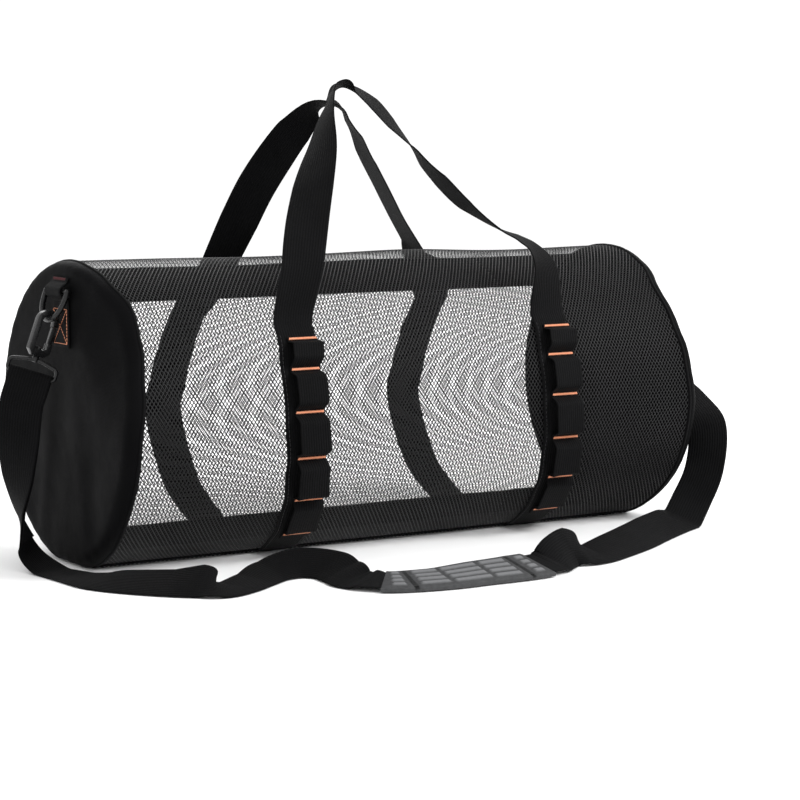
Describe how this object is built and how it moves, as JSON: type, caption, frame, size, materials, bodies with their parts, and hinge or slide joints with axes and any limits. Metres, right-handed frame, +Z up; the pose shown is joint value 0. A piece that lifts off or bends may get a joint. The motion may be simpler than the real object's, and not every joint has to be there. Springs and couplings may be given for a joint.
{
  "type": "mesh dive gear bag",
  "caption": "Drum-shaped net gear bag lying on its side, with coated end panels, webbing carry handles with loop ladders, and a clip-on shoulder strap with a rubber pad.",
  "frame": {"origin": "middle of the flat underside of the bottom panel", "axes": "+X along the drum from the left end to the right end, -Y the front with the loop ladders, +Z up"},
  "size_m": [0.7197, 0.4241, 0.4259],
  "materials": {
    "net_cloth": "open diamond net of coated black thread",
    "coated_cloth": "smooth black coated cloth with a soft sheen",
    "webbing": "matt black woven webbing",
    "hardware": "dark grey moulded plastic, satin",
    "grip_rubber": "matt dark grey ribbed rubber"
  },
  "bodies": {
    "bag": {"net_front": "net_cloth", "net_back": "net_cloth", "zip_band": "webbing", "bottom_panel": "coated_cloth", "end_panel_left": "coated_cloth", "end_panel_right": "coated_cloth", "zip_slider": "hardware", "handle_strap_front": "webbing", "handle_strap_back": "webbing", "loop_ladder_left": "webbing", "loop_ladder_right": "webbing", "shoulder_strap": "webbing", "grip_pad": "grip_rubber", "end_tab_left": "webbing", "d_ring_left": "hardware", "hook_body_left": "hardware", "hook_swivel_left": "hardware", "end_tab_right": "webbing", "d_ring_right": "hardware", "hook_body_right": "hardware", "hook_swivel_right": "hardware"},
    "gate_left": {"hook_gate_left": "hardware"},
    "gate_right": {"hook_gate_right": "hardware"}
  },
  "joints": [
    {"name": "gate_left_turn", "type": "hinge", "parent": "bag", "child": "gate_left", "pos_m": [-0.31682, -0.004, 0.19118], "axis": [0, -1, 0], "range_deg": [0, 25], "stiffness_Nm_per_rad": 0.01},
    {"name": "gate_right_turn", "type": "hinge", "parent": "bag", "child": "gate_right", "pos_m": [0.31682, -0.004, 0.19118], "axis": [0, 1, 0], "range_deg": [0, 25], "stiffness_Nm_per_rad": 0.01}
  ]
}
